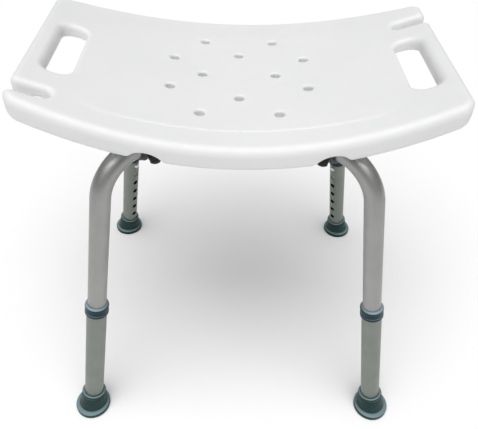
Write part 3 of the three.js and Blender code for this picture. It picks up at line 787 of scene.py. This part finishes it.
class Finish:
    """A material's node tree with a few short ways to add to it."""

    def __init__(self, name, **sockets):
        self.material = bpy.data.materials.new(name)
        self.material.use_nodes = True
        self.nodes = self.material.node_tree.nodes
        self.links = self.material.node_tree.links
        self.shader = self.nodes["Principled BSDF"]
        self.coords = self.nodes.new("ShaderNodeTexCoord").outputs["Object"]
        for socket, value in sockets.items():
            self.shader.inputs[socket.replace("_", " ")].default_value = value

    def stretched(self, scale):
        """Object coordinates scaled by axis, which draws a pattern out along its small scales."""
        mapping = self.nodes.new("ShaderNodeMapping")
        mapping.inputs["Scale"].default_value = scale
        self.links.new(self.coords, mapping.inputs["Vector"])
        return mapping.outputs["Vector"]

    def noise(self, scale, detail=2.0, coords=None, roughness=0.5):
        node = self.nodes.new("ShaderNodeTexNoise")
        node.inputs["Scale"].default_value = scale
        node.inputs["Detail"].default_value = detail
        node.inputs["Roughness"].default_value = roughness
        self.links.new(coords or self.coords, node.inputs["Vector"])
        return node.outputs["Fac"]

    def spread(self, factor, low, high, start=0.3, stop=0.7):
        node = self.nodes.new("ShaderNodeMapRange")
        node.interpolation_type = "SMOOTHSTEP"
        for socket, value in zip(("From Min", "From Max", "To Min", "To Max"), (start, stop, low, high)):
            node.inputs[socket].default_value = value
        self.links.new(factor, node.inputs["Value"])
        return node.outputs["Result"]

    def mixed(self, factor, low, high, start=0.3, stop=0.7):
        node = self.nodes.new("ShaderNodeMix")
        node.data_type = "RGBA"
        node.inputs["A"].default_value = (*low, 1)
        node.inputs["B"].default_value = (*high, 1)
        self.links.new(self.spread(factor, 0, 1, start, stop), node.inputs["Factor"])
        return node.outputs["Result"]

    def upward(self):
        """How far a face looks up, from -1 to 1."""
        split = self.nodes.new("ShaderNodeSeparateXYZ")
        self.links.new(self.nodes.new("ShaderNodeNewGeometry").outputs["Normal"], split.inputs["Vector"])
        return split.outputs["Z"]

    def layered(self, factor, base, colour):
        node = self.nodes.new("ShaderNodeMix")
        node.data_type = "RGBA"
        self.links.new(factor, node.inputs["Factor"])
        self.links.new(base, node.inputs["A"])
        node.inputs["B"].default_value = (*colour, 1)
        return node.outputs["Result"]

    def bump(self, height, strength, distance, below=None):
        node = self.nodes.new("ShaderNodeBump")
        node.inputs["Strength"].default_value = strength
        node.inputs["Distance"].default_value = distance * MM
        self.links.new(height, node.inputs["Height"])
        if below is not None:
            self.links.new(below, node.inputs["Normal"])
        return node.outputs["Normal"]

    def feed(self, **outputs):
        for socket, output in outputs.items():
            self.links.new(output, self.shader.inputs[socket.replace("_", " ")])
        return self.material


def seat_plastic():
    """Blow-moulded polyethylene: a waxy skin with fine grain and slow waviness from the mould."""
    finish = Finish(
        "seat_plastic", IOR=1.5, Specular_IOR_Level=0.45,
        Subsurface_Weight=0.25, Subsurface_Radius=(1, 0.95, 0.88), Subsurface_Scale=8 * MM,
    )
    tint = finish.noise(7, 3)
    waves = finish.noise(22, 2)
    grain = finish.noise(950, 2)
    return finish.feed(
        Base_Color=finish.mixed(tint, (0.79, 0.795, 0.795), (0.815, 0.818, 0.816)),
        Roughness=finish.spread(finish.noise(60, 4), 0.36, 0.48),
        Normal=finish.bump(grain, 0.12, 0.12, finish.bump(waves, 0.5, 0.5)),
    )


def anodised_aluminium(name, low, high):
    """Drawn tube: hairlines along the length under a dull, even anodised skin."""
    finish = Finish(name, Metallic=0.85)
    lines = finish.noise(1, 4, finish.stretched((1500, 1500, 14)))
    cloud = finish.noise(30, 4)
    return finish.feed(
        Base_Color=finish.mixed(cloud, low, high),
        Roughness=finish.spread(lines, 0.38, 0.5),
        Normal=finish.bump(lines, 0.15, 0.06),
    )


def soft_teal(name, low, high, painted_sheen_colour, gloss, dull):
    """Dark moulding whose upward faces carry a painted sheen: a pale colour mixed in by how far a face
    looks up, standing in for light reflected from above.
    """
    finish = Finish(name, Specular_IOR_Level=0.22)
    cloud = finish.noise(45, 4)
    grain = finish.noise(1400, 3)
    # painted sheen: faces that look up are mixed towards the pale colour, as painted light from above
    painted_sheen = finish.spread(finish.upward(), 0, 1, 0.45, 0.85)
    return finish.feed(
        Base_Color=finish.layered(painted_sheen, finish.mixed(cloud, low, high), painted_sheen_colour),
        Roughness=finish.spread(finish.noise(160, 3), gloss, dull),
        Normal=finish.bump(grain, 0.25, 0.08),
    )


def black_plastic():
    finish = Finish("black_plastic", Specular_IOR_Level=0.4)
    grain = finish.noise(1100, 2)
    return finish.feed(
        Base_Color=finish.mixed(finish.noise(60, 3), (0.011, 0.012, 0.012), (0.02, 0.021, 0.021)),
        Roughness=finish.spread(finish.noise(220, 3), 0.38, 0.55),
        Normal=finish.bump(grain, 0.3, 0.08),
    )


def plated_steel():
    finish = Finish("plated_steel", Metallic=1.0)
    scuffs = finish.noise(1, 3, finish.stretched((900, 900, 250)))
    return finish.feed(
        Base_Color=finish.mixed(finish.noise(140, 3), (0.60, 0.61, 0.62), (0.72, 0.72, 0.73)),
        Roughness=finish.spread(scuffs, 0.18, 0.34),
        Normal=finish.bump(scuffs, 0.1, 0.04),
    )


def floor_paint():
    finish = Finish("floor_paint", Roughness=0.9, Specular_IOR_Level=0.1)
    return finish.feed(
        Base_Color=finish.mixed(finish.noise(3, 3), (0.93, 0.93, 0.93), (0.94, 0.94, 0.94)),
        Normal=finish.bump(finish.noise(400, 2), 0.05, 0.1),
    )


# ---- assembly ------------------------------------------------------------------------------


def make_legs(finishes):
    tube = make_tube_mesh()
    sleeve = make_sleeve_mesh()
    collar = make_collar_mesh()
    foot = make_foot_mesh()
    washer = make_washer_mesh()
    button = make_button_mesh()
    spring = make_spring_mesh()
    clamp = make_clamp_mesh()
    clamp_screw = make_screw_mesh("clamp_screw", 2.05, 13.5, 4.2, 2.8)
    tube_screw = make_screw_mesh("tube_screw", 2.05, 9.5, 3.8, 2.4)
    for corner, azimuth in CORNERS.items():
        upright = corner_place(azimuth)
        leg = leg_place(azimuth)
        lower = f"lower_leg_{corner}"
        press = f"button_{corner}"
        foot_mesh = foot.copy()
        foot_mesh.transform(upright)
        foot_place = Matrix.Translation(upright @ Vector((FOOT_REACH * MM, 0, 0)))
        ear = (CLAMP_TOP - CLAMP_THICKNESS) * MM
        add_piece(
            f"look_leg_tube_{corner}", tube, "seat_frame", finishes["tube"], place=leg
        )
        add_piece(
            f"look_leg_sleeve_{corner}", sleeve, lower, finishes["sleeve"], place=leg
        )
        add_piece(
            f"look_sleeve_collar_{corner}", collar, lower, finishes["teal"], place=leg
        )
        add_piece(
            f"look_rubber_foot_{corner}", foot_mesh, lower, finishes["rubber"],
            place=foot_place,
        )
        add_piece(f"look_foot_washer_{corner}", washer, lower, finishes["steel"], place=leg)
        add_piece(f"look_snap_button_{corner}", button, press, finishes["steel"], place=leg)
        coil = add_piece(
            f"look_button_spring_{corner}", spring, press, finishes["steel"], place=leg
        )
        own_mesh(coil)
        add_piece(
            f"look_leg_clamp_{corner}", clamp, "seat_frame", finishes["black"],
            place=upright,
        )
        for letter, side in (("a", 1), ("b", -1)):
            spot = Matrix.Translation((CLAMP_REACH * MM, side * SCREW_OFFSET * MM, ear))
            add_piece(
                f"look_clamp_screw_{letter}_{corner}", clamp_screw, "seat_frame",
                finishes["steel"], place=upright @ spot,
            )
        spot = Matrix.Translation((46 * MM, 0, (TUBE_HEIGHT - 16.5) * MM))
        add_piece(
            f"look_tube_screw_{corner}", tube_screw, "seat_frame", finishes["steel"],
            place=upright @ spot,
        )


def make_middle(finishes):
    add_piece("look_cross_hub", make_hub_mesh(), "seat_frame", finishes["black"])
    screw = make_screw_mesh("hub_screw", 2.5, 45, 5.4, 3.2)
    add_piece(
        "look_hub_centre_screw", screw, "seat_frame", finishes["steel"],
        place=Matrix.Translation((0, 0, 426.9 * MM)),
    )
    add_piece(
        "look_vent_plug", make_plug_mesh(), "seat_frame", finishes["seat"],
        place=Matrix.Translation((0, VENT_Y * MM, 0)),
    )


def make_floor():
    size = 6
    mesh = bpy.data.meshes.new("floor")
    corners = [(-size, -size, 0), (size, -size, 0), (size, size, 0), (-size, size, 0)]
    mesh.from_pydata(corners, [], [(0, 1, 2, 3)])
    mesh.materials.append(floor_paint())
    floor = bpy.data.objects.new("floor", mesh)
    bpy.context.scene.collection.objects.link(floor)


def make_sky_panel(name, elevation, turn, power, width):
    """A broad soft light at a height angle above the front, turned about Z, all in degrees."""
    lamp = bpy.data.lights.new(name, "SUN")
    lamp.energy = power
    lamp.angle = math.radians(width)
    light = bpy.data.objects.new(name, lamp)
    light.rotation_euler = (math.radians(90 - elevation), 0, math.radians(turn))
    bpy.context.scene.collection.objects.link(light)


def make_studio():
    world = bpy.data.worlds.new("studio")
    world.use_nodes = True
    world.node_tree.nodes["Background"].inputs["Color"].default_value = (1, 1, 1, 1)
    world.node_tree.nodes["Background"].inputs["Strength"].default_value = 0.24
    bpy.context.scene.world = world
    make_sky_panel("key", elevation=73, turn=-12, power=2.75, width=60)
    bpy.context.scene.view_settings.view_transform = "Standard"


def make_camera():
    """The photograph's viewing angle."""
    yaw, pitch, roll = (math.radians(a) for a in (1.66, -43.59, 1.99))
    forward = Vector((math.sin(yaw) * math.cos(pitch), math.cos(yaw) * math.cos(pitch), math.sin(pitch)))
    level = Vector((math.cos(yaw), -math.sin(yaw), 0))
    up = level.cross(forward)
    right = math.cos(roll) * level + math.sin(roll) * up
    top = math.cos(roll) * up - math.sin(roll) * level
    data = bpy.data.cameras.new("camera")
    data.lens = 40.63
    data.sensor_width = 36
    data.clip_start = 0.01
    camera = bpy.data.objects.new("camera", data)
    place = Matrix((right, top, -forward)).transposed().to_4x4()
    place.translation = Vector((-12.27 * MM, -628.1 * MM, 830.83 * MM))
    camera.matrix_world = place
    bpy.context.scene.collection.objects.link(camera)
    bpy.context.scene.camera = camera


FINISHES = {
    "seat": seat_plastic(),
    "tube": anodised_aluminium("tube_aluminium", (0.345, 0.345, 0.338), (0.37, 0.37, 0.363)),
    "sleeve": anodised_aluminium("sleeve_aluminium", (0.222, 0.246, 0.218), (0.242, 0.266, 0.238)),
    # the pale colours of teal and rubber are painted sheen for their upward faces; low and high are the
    # mouldings' own colours
    "teal": soft_teal(
        "teal_plastic", low=(0.008, 0.028, 0.042), high=(0.012, 0.038, 0.054),
        painted_sheen_colour=(0.24, 0.32, 0.36), gloss=0.3, dull=0.42,
    ),
    "rubber": soft_teal(
        "foot_rubber", low=(0.008, 0.032, 0.032), high=(0.014, 0.046, 0.045),
        painted_sheen_colour=(0.17, 0.25, 0.26), gloss=0.4, dull=0.54,
    ),
    "black": black_plastic(),
    "steel": plated_steel(),
}
make_camera()
make_studio()
make_floor()
make_seat(FINISHES["seat"])
make_middle(FINISHES)
make_legs(FINISHES)
